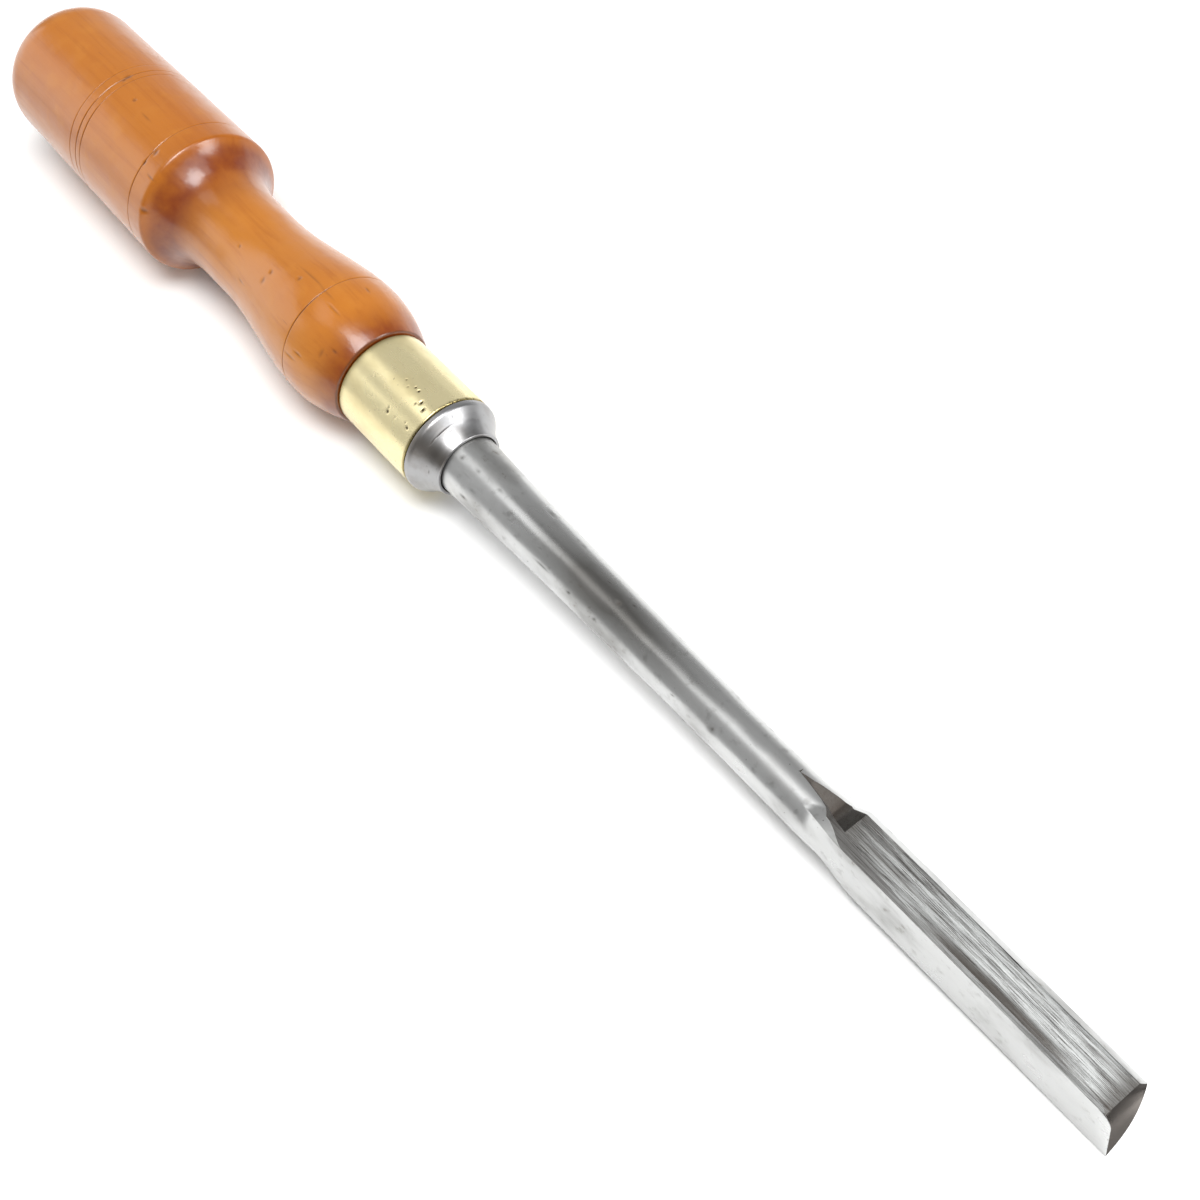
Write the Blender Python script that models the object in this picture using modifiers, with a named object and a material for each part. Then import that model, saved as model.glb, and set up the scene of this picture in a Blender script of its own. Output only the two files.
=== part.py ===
"""A turned-handle corner chisel with a V-shaped blade, lying at rest on a flat surface.

The tool is drawn along its own axis: X runs from the butt of the handle to the cutting edge, X = 0 is
the joint between ferrule and bolster, and the two legs of the V run along Y and Z. One empty then lays
the tool down, so that it rests on the shoulder of the handle and on the end of one leg.
Run it with: blender --background --python part.py
"""

import math

import bmesh
import bpy
from mathutils import Vector

MM = 0.001
GAP = 0.3 * MM

# Handle, a one-piece turning
BUTT_X = -184.0 * MM
BUTT_RADIUS = 19.1 * MM
BUTT_ROUNDING = 10.0 * MM
BUTT_CROWN = 0.8 * MM
SHOULDER_X = -105.7 * MM
SHOULDER_RADIUS = 19.9 * MM
SHOULDER_ROUNDING = 0.9 * MM
COVE_POWER = 5
NECK_X = -80.0 * MM
NECK_RADIUS = 12.7 * MM
BELLY_X = -43.0 * MM
BELLY_RADIUS = 16.9 * MM
COLLAR_RADIUS = 13.2 * MM
COLLAR_SLOPE = -0.45

# Ferrule, a length of tube over the handle's tenon
FERRULE_LENGTH = 26.4 * MM
FERRULE_RADIUS = 12.7 * MM
FERRULE_WALL = 1.6 * MM
FERRULE_CHAMFER = 0.3 * MM

# Bolster, a collar between the ferrule and the shank
BOLSTER_LENGTH = 8.0 * MM
BOLSTER_LAND = 2.3 * MM
BOLSTER_NOSE_RADIUS = 8.7 * MM
BOLSTER_HOLLOW = 0.5 * MM
BOLSTER_BORE_RADIUS = 6.2 * MM
BOLSTER_SEAT_DEPTH = 1.4 * MM
BOLSTER_CHAMFER = 0.2 * MM

# Blade: tang, round shank and V
SHANK_RADIUS = 7.75 * MM
WAIST_RADIUS = 5.85 * MM
WAIST_X = 115.0 * MM
TANG_SIDE = 8.0 * MM
TANG_TIP_SIDE = 3.6 * MM
TANG_X = -80.0 * MM
TANG_BORE_RADIUS = 6.1 * MM
TANG_BORE_TIP_RADIUS = 3.1 * MM
TANG_BORE_SPARE = 2.0 * MM
TANG_BORE_POINT = 1.9 * MM
LEG_WIDTH = 15.9 * MM
LEG_THICKNESS = 1.75 * MM
LEG_OFFSET = 5.4 * MM
V_START_X = 120.0 * MM
V_FULL_X = 138.0 * MM
TIP_X = 209.0 * MM
TIP_SWEEP = 4.0 * MM
BEVEL_LENGTH = 3.0 * MM
EDGE_THICKNESS = 0.25 * MM

# Bottom of the groove: place along the tool, and its Y and Z there. It rises out of the shank at
# one end, and the upper leg is left thicker for a way behind the run-out.
GROOVE_BOTTOM = -LEG_OFFSET + LEG_THICKNESS
GROOVE_PATH = (
    (118.0 * MM, 1.9 * MM, 6.1 * MM),
    (122.2 * MM, 1.6 * MM, 5.2 * MM),
    (126.2 * MM, 1.05 * MM, 4.2 * MM),
    (129.5 * MM, 0.5 * MM, 2.6 * MM),
    (131.3 * MM, 0.0 * MM, GROOVE_BOTTOM),
    (135.0 * MM, -0.8 * MM, GROOVE_BOTTOM),
    (143.0 * MM, -2.0 * MM, GROOVE_BOTTOM),
    (151.0 * MM, -2.95 * MM, GROOVE_BOTTOM),
    (160.0 * MM, GROOVE_BOTTOM, GROOVE_BOTTOM),
)

# How finely curves are drawn
ROUND_STEPS = 64
OUTLINE_STEPS = 48
CORNER_CLEARANCE = math.radians(3.0)
ARC_POINTS = 10
RIM_POINTS = 4
RUN_POINTS = 14
SHANK_STATIONS = (20.0 * MM, 35.0 * MM, 52.0 * MM, 70.0 * MM, 92.0 * MM)
V_STATIONS = 10
SHARP_ANGLE = math.radians(30.0)

# How far the cutters reach past the blade
CUTTER_REACH = 40.0 * MM
CUTTER_SPARE = 20.0 * MM

COLOURS = {
    "boxwood": ((0.56, 0.22, 0.055), 0.35, 0.0),
    "brass": ((0.86, 0.72, 0.40), 0.28, 1.0),
    "steel": ((0.46, 0.46, 0.46), 0.38, 1.0),
}


def clear_scene():
    """Remove what the startup file holds."""
    for obj in list(bpy.data.objects):
        bpy.data.objects.remove(obj, do_unlink=True)
    for collection in list(bpy.data.collections):
        bpy.data.collections.remove(collection)


def new_collection(name):
    """A collection under the scene's own."""
    collection = bpy.data.collections.new(name)
    bpy.context.scene.collection.children.link(collection)
    return collection


def new_material(name):
    """A plain Principled material for one finish."""
    colour, roughness, metallic = COLOURS[name]
    material = bpy.data.materials.new(name)
    material.use_nodes = True
    shader = material.node_tree.nodes["Principled BSDF"]
    shader.inputs["Base Color"].default_value = (*colour, 1.0)
    shader.inputs["Roughness"].default_value = roughness
    shader.inputs["Metallic"].default_value = metallic
    return material


def turned(name, profile, collection, steps=ROUND_STEPS):
    """A solid turned about the tool's axis. The profile is (x, radius) points from the butt end over
    the outer side to the tip end, both ends on the axis or joined through a bore."""
    mesh = bpy.data.meshes.new(name)
    # The screw axis is the object's Z, so the tool's X is turned to -Z and the profile runs downwards.
    points = [(radius, 0.0, -x) for x, radius in profile]
    edges = [(n, n + 1) for n in range(len(points) - 1)]
    if profile[0][1] > 0.0:
        edges.append((len(points) - 1, 0))
    mesh.from_pydata(points, edges, [])
    obj = bpy.data.objects.new(name, mesh)
    collection.objects.link(obj)
    screw = obj.modifiers.new("Turn", "SCREW")
    screw.axis = "Z"
    screw.steps = steps
    screw.render_steps = steps
    screw.use_merge_vertices = True
    screw.merge_threshold = 0.00001
    screw.use_smooth_shade = True
    obj.rotation_euler = (0.0, math.radians(-90.0), 0.0)
    return obj


def arc(centre_x, centre_radius, size, start, end, count):
    """Points on a circular arc of the profile plane, angles in degrees from +X towards +radius."""
    angles = [math.radians(start + (end - start) * n / count) for n in range(count + 1)]
    return [(centre_x + size * math.cos(a), centre_radius + size * math.sin(a)) for a in angles]


def cove_run(x0, r0, x1, r1):
    """Points of a hollow that drops steeply and flattens out, without the first point."""
    shares = [n / RUN_POINTS for n in range(1, RUN_POINTS + 1)]
    return [(x0 + (x1 - x0) * t, r1 + (r0 - r1) * (1 - t) ** COVE_POWER) for t in shares]


def smooth_run(x0, r0, slope0, x1, r1, slope1):
    """Points of a cubic between two stations with given slopes, without the first point."""
    length = x1 - x0
    points = []
    for n in range(1, RUN_POINTS + 1):
        t = n / RUN_POINTS
        radius = (
            r0 * (2 * t**3 - 3 * t**2 + 1)
            + slope0 * length * (t**3 - 2 * t**2 + t)
            + r1 * (3 * t**2 - 2 * t**3)
            + slope1 * length * (t**3 - t**2)
        )
        points.append((x0 + length * t, radius))
    return points


def butt_profile():
    """The domed end of the handle, from the axis to the side of the barrel."""
    corner_x = BUTT_X + BUTT_CROWN + BUTT_ROUNDING
    rounding = arc(corner_x, BUTT_RADIUS - BUTT_ROUNDING, BUTT_ROUNDING, 180.0, 90.0, ARC_POINTS)
    return [(BUTT_X, 0.0)] + rounding


def handle_profile():
    """The whole handle: butt, barrel, shoulder, neck, belly and the tenon under the ferrule."""
    profile = butt_profile()
    rim_x = SHOULDER_X - SHOULDER_ROUNDING
    rim_radius = SHOULDER_RADIUS - SHOULDER_ROUNDING
    profile += arc(rim_x, rim_radius, SHOULDER_ROUNDING, 90.0, 30.0, RIM_POINTS)
    cove_x, cove_radius = profile[-1]
    profile += cove_run(cove_x, cove_radius, NECK_X, NECK_RADIUS)
    profile += smooth_run(NECK_X, NECK_RADIUS, 0.0, BELLY_X, BELLY_RADIUS, 0.0)
    collar_x = -FERRULE_LENGTH - 2 * GAP
    profile += smooth_run(BELLY_X, BELLY_RADIUS, 0.0, collar_x, COLLAR_RADIUS, COLLAR_SLOPE)
    tenon_radius = FERRULE_RADIUS - FERRULE_WALL - GAP
    profile += [(collar_x, tenon_radius), (-GAP, tenon_radius)]
    bore_end_x = TANG_X - TANG_BORE_SPARE
    profile += [(-GAP, TANG_BORE_RADIUS), (bore_end_x, TANG_BORE_TIP_RADIUS)]
    profile += [(bore_end_x - TANG_BORE_POINT, 0.0)]
    return profile


def make_handle(collection):
    """The turned handle with its blind tapered bore for the tang."""
    return turned("handle", handle_profile(), collection)


def make_ferrule(collection):
    """The brass tube over the tenon, its outer corners broken."""
    back = -FERRULE_LENGTH - GAP
    front = -GAP
    inner = FERRULE_RADIUS - FERRULE_WALL
    profile = [
        (back, inner),
        (back, FERRULE_RADIUS - FERRULE_CHAMFER),
        (back + FERRULE_CHAMFER, FERRULE_RADIUS),
        (front - FERRULE_CHAMFER, FERRULE_RADIUS),
        (front, FERRULE_RADIUS - FERRULE_CHAMFER),
        (front, inner),
    ]
    return turned("ferrule", profile, collection)


def make_bolster(collection):
    """The steel collar: a short land, a hollow cone and a seat for the end of the shank."""
    seat_radius = SHANK_RADIUS + GAP
    seat_x = BOLSTER_LENGTH - BOLSTER_SEAT_DEPTH
    cone = []
    for n in range(1, ARC_POINTS + 1):
        t = n / ARC_POINTS
        x = BOLSTER_LAND + (BOLSTER_LENGTH - BOLSTER_LAND) * t
        radius = FERRULE_RADIUS + (BOLSTER_NOSE_RADIUS - FERRULE_RADIUS) * t
        cone.append((x, radius - BOLSTER_HOLLOW * math.sin(math.pi * t)))
    profile = [
        (0.0, BOLSTER_BORE_RADIUS),
        (0.0, FERRULE_RADIUS - BOLSTER_CHAMFER),
        (BOLSTER_CHAMFER, FERRULE_RADIUS),
        (BOLSTER_LAND, FERRULE_RADIUS),
        *cone,
        (BOLSTER_LENGTH, seat_radius),
        (seat_x, seat_radius),
        (seat_x, BOLSTER_BORE_RADIUS),
    ]
    return turned("bolster", profile, collection)


def smoothstep(t):
    """Eases from 0 to 1."""
    t = min(max(t, 0.0), 1.0)
    return t * t * (3 - 2 * t)


def shank_radius(x):
    """The shank tapers from the bolster to a waist just behind the V."""
    taper = max(WAIST_X - x, 0.0) / (WAIST_X - BOLSTER_LENGTH)
    return WAIST_RADIUS + (SHANK_RADIUS - WAIST_RADIUS) * taper**2


def polygon_radius(corners, angle):
    """Distance from the axis to a convex outline in the direction of the angle."""
    direction = Vector((math.cos(angle), math.sin(angle)))
    for n, first in enumerate(corners):
        side = Vector(corners[(n + 1) % len(corners)]) - Vector(first)
        across = direction.x * side.y - direction.y * side.x
        if abs(across) < 1e-12:
            continue
        reach = (first[0] * side.y - first[1] * side.x) / across
        along = (first[0] * direction.y - first[1] * direction.x) / across
        if reach > 0.0 and -1e-9 <= along <= 1 + 1e-9:
            return reach
    raise ValueError("the outline doesn't enclose the axis")


def bar_corners():
    """The solid bar before its groove: the corner of the V and the ends of its two legs."""
    wing = LEG_WIDTH - LEG_OFFSET
    return [(-LEG_OFFSET, -LEG_OFFSET), (wing, -LEG_OFFSET), (-LEG_OFFSET, wing)]


def bar_angles():
    """Directions of the outline's points, with one exactly on each corner of the bar."""
    even = [2 * math.pi * n / OUTLINE_STEPS for n in range(OUTLINE_STEPS)]
    corners = [math.atan2(z, y) for y, z in bar_corners()]
    corners = [angle % (2 * math.pi) for angle in corners]
    kept = [a for a in even if min(abs(a - c) for c in corners) > CORNER_CLEARANCE]
    return sorted(kept + corners)


def bar_section(x, angles):
    """One outline of shank or bar: round up to the V, then blending into the three-sided bar."""
    blend = smoothstep((x - V_START_X) / (V_FULL_X - V_START_X))
    section = []
    for angle in angles:
        flat = polygon_radius(bar_corners(), angle)
        radius = shank_radius(x) * (1 - blend) + flat * blend
        section.append((x, radius * math.cos(angle), radius * math.sin(angle)))
    return section


def square_section(x, side, angles):
    """One outline of the square tang."""
    half = side / 2
    corners = [(-half, -half), (half, -half), (half, half), (-half, half)]
    section = []
    for angle in angles:
        reach = polygon_radius(corners, angle)
        section.append((x, reach * math.cos(angle), reach * math.sin(angle)))
    return section


def loft(name, sections, collection):
    """A closed body through outlines that all have the same number of points."""
    count = len(sections[0])
    shape = bmesh.new()
    rings = [[shape.verts.new(point) for point in section] for section in sections]
    for ring, following in zip(rings, rings[1:]):
        for n in range(count):
            after = (n + 1) % count
            shape.faces.new((ring[n], ring[after], following[after], following[n]))
    for ring in (rings[0], rings[-1]):
        middle = shape.verts.new(sum((vertex.co for vertex in ring), Vector()) / count)
        for n in range(count):
            shape.faces.new((ring[n], ring[(n + 1) % count], middle))
    bmesh.ops.triangulate(shape, faces=shape.faces)
    bmesh.ops.recalc_face_normals(shape, faces=shape.faces)
    mesh = bpy.data.meshes.new(name)
    shape.to_mesh(mesh)
    shape.free()
    obj = bpy.data.objects.new(name, mesh)
    collection.objects.link(obj)
    return obj


def groove_cutter(collection):
    """The space between the legs: run-out into the shank, parallel groove and the inner bevel, which
    thins both legs to an edge at the tip."""
    far = CUTTER_REACH
    edge = -LEG_OFFSET + EDGE_THICKNESS
    bevel_end = TIP_X - TIP_SWEEP
    stations = list(GROOVE_PATH)
    stations.append((bevel_end - BEVEL_LENGTH, GROOVE_BOTTOM, GROOVE_BOTTOM))
    stations.append((bevel_end, edge, edge))
    stations.append((TIP_X + CUTTER_SPARE, edge, edge))
    sections = []
    for x, bottom_y, bottom_z in stations:
        corners = [(bottom_y, bottom_z), (far, bottom_z), (far, far), (bottom_y, far)]
        sections.append([(x, y, z) for y, z in corners])
    return loft("groove_cutter", sections, collection)


def tip_cutter(collection):
    """What is cut off the end, so that both legs sweep back from the corner of the V."""
    reach = CUTTER_REACH
    slope = TIP_SWEEP / LEG_WIDTH
    corner = -LEG_OFFSET
    points = []
    for y, z in ((-reach, -reach), (reach, -reach), (reach, reach), (-reach, reach)):
        sweep = slope * ((y - corner) + (z - corner))
        points.append((TIP_X - sweep, y, z))
    far_end = max(x for x, _, _ in points) + CUTTER_SPARE
    ends = [(far_end, y, z) for _, y, z in points]
    return loft("tip_cutter", [points, ends], collection)


def cut(obj, cutter):
    """Takes the cutter away from the object and hides the cutter."""
    cutter.hide_render = True
    cutter.display_type = "WIRE"
    boolean = obj.modifiers.new(cutter.name, "BOOLEAN")
    boolean.operation = "DIFFERENCE"
    boolean.solver = "EXACT"
    boolean.object = cutter


def make_blade(collection, cutters):
    """One forging: square tang, round shank and V, with the groove and the inner bevel cut in."""
    angles = bar_angles()
    back = BOLSTER_LENGTH - BOLSTER_SEAT_DEPTH + GAP
    sections = [square_section(TANG_X, TANG_TIP_SIDE, angles), square_section(back, TANG_SIDE, angles)]
    stations = [back, *SHANK_STATIONS, V_START_X]
    stations += [V_START_X + (V_FULL_X - V_START_X) * n / V_STATIONS for n in range(1, V_STATIONS + 1)]
    stations.append(TIP_X + CUTTER_SPARE / 2)
    sections += [bar_section(x, angles) for x in stations]
    blade = loft("blade", sections, collection)
    blade.data.shade_smooth()
    blade.data.set_sharp_from_angle(angle=SHARP_ANGLE)
    for cutter in (tip_cutter(cutters), groove_cutter(cutters)):
        cut(blade, cutter)
    return blade


def lay_down(parts, cutters):
    """Parents the parts to one empty that tips the tool until the shoulder of the handle and the end
    of the lower leg are level, then sets the base on Z = 0 and the middle of the tool on the origin."""
    drop = SHOULDER_RADIUS - LEG_OFFSET
    run = TIP_X - TIP_SWEEP / 2 - (SHOULDER_X - SHOULDER_ROUNDING)
    rest = bpy.data.objects.new("bench_chisel_rest", None)
    bpy.context.scene.collection.objects.link(rest)
    rest.rotation_euler = (0.0, math.atan2(drop, run), 0.0)
    for obj in [*parts, *cutters]:
        obj.parent = rest
    bpy.context.view_layer.update()
    graph = bpy.context.evaluated_depsgraph_get()
    corners = []
    for part in parts:
        evaluated = part.evaluated_get(graph)
        mesh = evaluated.to_mesh()
        corners += [evaluated.matrix_world @ vertex.co for vertex in mesh.vertices]
        evaluated.to_mesh_clear()
    low = Vector([min(point[n] for point in corners) for n in range(3)])
    high = Vector([max(point[n] for point in corners) for n in range(3)])
    rest.location = (-(low.x + high.x) / 2, -(low.y + high.y) / 2, -low.z)
    bpy.context.view_layer.update()


def main():
    clear_scene()
    parts = new_collection("bench_chisel")
    cutters = new_collection("cutters")
    handle = make_handle(parts)
    ferrule = make_ferrule(parts)
    bolster = make_bolster(parts)
    blade = make_blade(parts, cutters)
    finishes = {name: new_material(name) for name in COLOURS}
    handle.data.materials.append(finishes["boxwood"])
    ferrule.data.materials.append(finishes["brass"])
    bolster.data.materials.append(finishes["steel"])
    blade.data.materials.append(finishes["steel"])
    lay_down([handle, ferrule, bolster, blade], cutters.objects)


main()
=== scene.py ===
import math

import bmesh
import bpy
import numpy as np
from bpy.props import FloatProperty, FloatVectorProperty, IntProperty, PointerProperty
from mathutils import Matrix, Vector


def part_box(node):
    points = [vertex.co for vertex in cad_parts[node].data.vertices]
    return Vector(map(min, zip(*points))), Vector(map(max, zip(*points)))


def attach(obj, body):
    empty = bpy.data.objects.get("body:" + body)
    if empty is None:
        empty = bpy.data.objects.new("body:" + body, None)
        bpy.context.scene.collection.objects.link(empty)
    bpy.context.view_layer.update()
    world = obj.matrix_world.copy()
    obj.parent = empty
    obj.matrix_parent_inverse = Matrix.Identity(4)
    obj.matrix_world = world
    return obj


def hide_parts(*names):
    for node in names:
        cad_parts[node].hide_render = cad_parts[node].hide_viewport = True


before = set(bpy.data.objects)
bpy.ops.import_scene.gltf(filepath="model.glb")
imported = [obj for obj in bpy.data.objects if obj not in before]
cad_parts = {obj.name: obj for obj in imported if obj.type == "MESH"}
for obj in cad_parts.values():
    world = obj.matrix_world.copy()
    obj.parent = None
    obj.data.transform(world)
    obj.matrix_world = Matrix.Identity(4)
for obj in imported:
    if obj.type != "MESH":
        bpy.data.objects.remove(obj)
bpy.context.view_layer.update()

bl_info = {
    "name": "Corner Chisel",
    "version": (1, 0, 0),
    "blender": (4, 5, 0),
    "location": "3D View > Sidebar > Chisel",
    "description": "Builds the finished surfaces of a corner chisel around its solid model",
    "category": "Add Mesh",
}

MM = 0.001
GAP = 0.3

# The tool's own frame, in millimetres: X from butt to cutting edge with 0 between ferrule and bolster,
# the legs of the V along Y and Z. Angles round the tool run from +Y towards +Z.
BUTT_X = -184.0
BUTT_ROUNDING = 10.0
BUTT_CROWN = 0.8
SHOULDER_X = -105.7
SHOULDER_ROUNDING = 0.9
COVE_POWER = 5
LINE_WIDTH = 0.14
NECK_X = -80.0
BELLY_X = -43.0
COLLAR_RADIUS = 13.2
FERRULE_LENGTH = 26.4
FERRULE_WALL = 1.6
FERRULE_ROUNDING = 0.45
BOLSTER_ROUNDING = 0.25
LAND_ROUNDING = 1.5
TANG_X = -80.0
TANG_BORE_RADIUS = 6.1
TANG_BORE_TIP_RADIUS = 3.1
SEAT_DEPTH = 1.4
WAIST_X = 115.0
RUN_OUT_X = 118.5
TIP_X = 209.0
LYING_REACH_X = TIP_X - 2.0

# How many points go round each turned piece, the depth at which a mark is at its darkest, and how near
# two points lie to be one (in metres): anywhere, and where a face has shrunk to nothing.
HANDLE_SIDES = 320
FERRULE_SIDES = 360
BOLSTER_SIDES = 288
FULLY_MARKED = 0.15
SAME_POINT = 2e-7
SLIVER = 8e-5


# ---------------------------------------------------------------- sizes and colours a user may change


def length(name, value, description):
    """A length property with its default given in millimetres."""
    return FloatProperty(
        name=name,
        description=description,
        default=value * MM,
        min=0.0,
        unit="LENGTH",
        subtype="DISTANCE",
    )


def bearing(name, value, description):
    """An angle property with its default given in degrees."""
    return FloatProperty(
        name=name, description=description, default=math.radians(value), subtype="ANGLE"
    )


def colour(name, value, description):
    """A linear colour property."""
    return FloatVectorProperty(
        name=name, description=description, default=value, min=0.0, max=1.0, size=3, subtype="COLOR"
    )


class HandleSettings(bpy.types.PropertyGroup):
    barrel_radius: length("Barrel radius", 19.9, "Radius of the barrel at its shoulder")
    butt_radius: length("Butt radius", 19.1, "Radius of the barrel at its butt")
    neck_radius: length("Neck radius", 12.7, "Smallest radius, in the hollow behind the shoulder")
    belly_radius: length("Belly radius", 16.9, "Largest radius of the swelling before the ferrule")
    line_depth: length("Line depth", 0.28, "Depth of the scribed lines")
    wood: colour("Wood", (0.37, 0.102, 0.004), "Main colour of the waxed boxwood")
    wood_pale: colour("Pale wood", (0.47, 0.172, 0.018), "Colour where handling has kept the wood light")
    # Dark wood colours end grain and also the painted shade in the cove's hollow and next to the ferrule.
    wood_dark: colour("Dark wood", (0.14, 0.017, 0.002), "Colour of end grain and of soaked-in finish")
    seed: IntProperty(name="Wear seed", description="Seed of the small knocks", default=11, min=0)


class FerruleSettings(bpy.types.PropertyGroup):
    radius: length("Radius", 12.7, "Outer radius of the brass tube")
    brass: colour("Brass", (0.86, 0.76, 0.45), "Polished brass")
    tarnish: colour("Tarnish", (0.50, 0.40, 0.17), "Brass that has dulled")
    seed: IntProperty(name="Pit seed", description="Seed of the smallest pits", default=5, min=0)


class BolsterSettings(bpy.types.PropertyGroup):
    bolster_length: length("Length", 8.0, "Length of the collar")
    land: length("Land", 2.3, "Width of the full-size band")
    nose_radius: length("Nose radius", 8.7, "Radius at the shank end")
    hollow: length("Hollow", 0.5, "How far the cone is dished")
    steel: colour("Steel", (0.38, 0.38, 0.385), "Bright turned steel")


class BladeSettings(bpy.types.PropertyGroup):
    shank_radius: length("Shank radius", 7.75, "Radius of the shank at the bolster")
    waist_radius: length("Waist radius", 5.85, "Radius of the shank behind the V")
    leg_width: length("Leg width", 15.9, "Outer width of each leg of the V")
    leg_thickness: length("Leg thickness", 1.75, "Thickness of each leg")
    leg_offset: length("Leg offset", 5.4, "Distance from the tool's axis to each outer face")
    steel: colour("Steel", (0.57, 0.575, 0.57), "Ground steel")
    patina: colour("Patina", (0.20, 0.195, 0.185), "Steel darkened by age")
    seed: IntProperty(name="Pit seed", description="Seed of the small pits", default=23, min=0)


class StageSettings(bpy.types.PropertyGroup):
    floor_colour: colour("Floor", (0.93, 0.93, 0.925), "Plain pale floor")
    azimuth: bearing("Azimuth", 59.98, "Camera direction round the tool")
    elevation: bearing("Elevation", 54.33, "Camera height as an angle")
    roll: bearing("Roll", 10.46, "Turn of the camera about its own view")
    distance: length("Distance", 418.1, "From the camera to the point it looks at")
    lens: FloatProperty(name="Lens", description="Focal length in millimetres", default=55.5, min=1.0)


# ---------------------------------------------------------------- placing and mesh building


def tool_matrix():
    """The tool's own frame in the row's frame: tipped nose-down by the rest pose, and centred on the
    ferrule's solid."""
    handle = bpy.context.scene.chisel_handle
    blade = bpy.context.scene.chisel_blade
    drop = (handle.barrel_radius - blade.leg_offset) / MM
    run = LYING_REACH_X - (SHOULDER_X - SHOULDER_ROUNDING)
    tip_down = Matrix.Rotation(math.atan2(drop, run), 4, "Y")
    low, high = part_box("ferrule")
    middle = Vector((-(FERRULE_LENGTH / 2 + GAP) * MM, 0.0, 0.0))
    return Matrix.Translation((low + high) / 2 - tip_down @ middle) @ tip_down


def skin(name, rows, close_rows, marks):
    """A mesh over a grid of rows of points, in millimetres. Each row is a ring. The rows either join
    into a torus or end in two points. marks are values for each point, row or column, which the
    materials read."""
    count, around = rows.shape[:2]
    vertices = rows.reshape(-1, 3) * MM
    index = np.arange(count * around).reshape(count, around)
    along = np.concatenate([index, index[:1]]) if close_rows else index
    ahead = np.roll(along, -1, axis=1)
    quads = np.stack([along[:-1], along[1:], ahead[1:], ahead[:-1]], axis=-1).reshape(-1, 4)
    mesh = bpy.data.meshes.new(name)
    mesh.from_pydata(vertices.tolist(), [], quads.tolist())
    for key, values in marks.items():
        layer = mesh.attributes.new(key, "FLOAT", "POINT")
        everywhere = np.broadcast_to(values, (count, around))
        layer.data.foreach_set("value", everywhere.astype(np.float32).ravel())
    own = mesh.attributes.new("own_place", "FLOAT_VECTOR", "POINT")
    own.data.foreach_set("vector", vertices.astype(np.float32).ravel())
    return mesh


def end_rings(rows, around):
    """The point numbers of the first and last row."""
    last = (rows - 1) * around
    return range(around), range(last, last + around)


def finish_mesh(mesh, caps=()):
    """Closes the named end rows, welds the points that lie together and those round a hairline gap,
    and turns every face outwards."""
    shape = bmesh.new()
    shape.from_mesh(mesh)
    shape.verts.ensure_lookup_table()
    for ring in caps:
        shape.faces.new([shape.verts[n] for n in ring])
    bmesh.ops.remove_doubles(shape, verts=shape.verts, dist=SAME_POINT)
    creased = {point for edge in shape.edges if len(edge.link_faces) != 2 for point in edge.verts}
    bmesh.ops.remove_doubles(shape, verts=list(creased), dist=SLIVER)
    long_faces = [face for face in shape.faces if len(face.verts) > 4]
    bmesh.ops.triangulate(shape, faces=long_faces)
    bmesh.ops.recalc_face_normals(shape, faces=shape.faces)
    for face in shape.faces:
        face.smooth = True
    shape.to_mesh(mesh)
    shape.free()


def place(name, mesh, node, material):
    """Puts a finished piece where its solid is, and lets it stand for that solid."""
    obj = bpy.data.objects.new(name, mesh)
    bpy.context.scene.collection.objects.link(obj)
    mesh.materials.append(material)
    mesh.transform(tool_matrix())
    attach(obj, "root")
    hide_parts(node)


def spread(profile, spacing):
    """Resamples a profile of (x, radius) so that its steps follow spacing(x, radius), in millimetres.
    Sharp corners of the profile are kept where a point is given twice."""
    profile = np.array(profile, float)
    pieces = []
    start = 0
    gaps = np.hypot(*np.diff(profile, axis=0).T)
    breaks = [n for n, gap in enumerate(gaps) if gap < 1e-9] + [len(profile) - 1]
    for end in breaks:
        part = profile[start : end + 1]
        steps = np.hypot(*np.diff(part, axis=0).T)
        reach = np.concatenate([[0.0], np.cumsum(steps)])
        fine = np.linspace(0.0, reach[-1], max(int(reach[-1] / 0.02), 4))
        x, radius = (np.interp(fine, reach, part[:, n]) for n in (0, 1))
        density = 1.0 / spacing(x, radius)
        total = np.concatenate([[0.0], np.cumsum((density[1:] + density[:-1]) / 2 * np.diff(fine))])
        count = max(int(round(total[-1])), 1)
        at = np.interp(np.linspace(0.0, total[-1], count + 1), total, fine)
        points = np.stack([np.interp(at, fine, x), np.interp(at, fine, radius)], axis=-1)
        pieces.append(points if not pieces else points[1:])
        start = end + 1
    return np.concatenate(pieces)


def all_round(count):
    """Evenly spaced angles round the tool."""
    return np.linspace(0.0, 2 * math.pi, count, endpoint=False)


def turned_rows(x, radius, angles):
    """Rings of points from a radius that may differ round the tool."""
    radius = radius if radius.ndim == 2 else np.repeat(radius[:, None], len(angles), axis=1)
    along = np.repeat(x[:, None], len(angles), axis=1)
    return np.stack([along, radius * np.cos(angles), radius * np.sin(angles)], axis=-1)


def arc(x, radius, size, start, end, count):
    """Points of an arc in the profile plane, angles in degrees from +X towards +radius."""
    angles = np.radians(np.linspace(start, end, count + 1))
    return [(x + size * math.cos(a), radius + size * math.sin(a)) for a in angles]


def smooth_run(first, slope0, last, slope1, count=40):
    """Points of a cubic from first to last with given slopes, without the first point."""
    (x0, r0), (x1, r1) = first, last
    t = np.linspace(0.0, 1.0, count + 1)[1:]
    radius = (
        r0 * (2 * t**3 - 3 * t**2 + 1)
        + slope0 * (x1 - x0) * (t**3 - 2 * t**2 + t)
        + r1 * (3 * t**2 - 2 * t**3)
        + slope1 * (x1 - x0) * (t**3 - t**2)
    )
    return list(zip(x0 + (x1 - x0) * t, radius))


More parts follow.
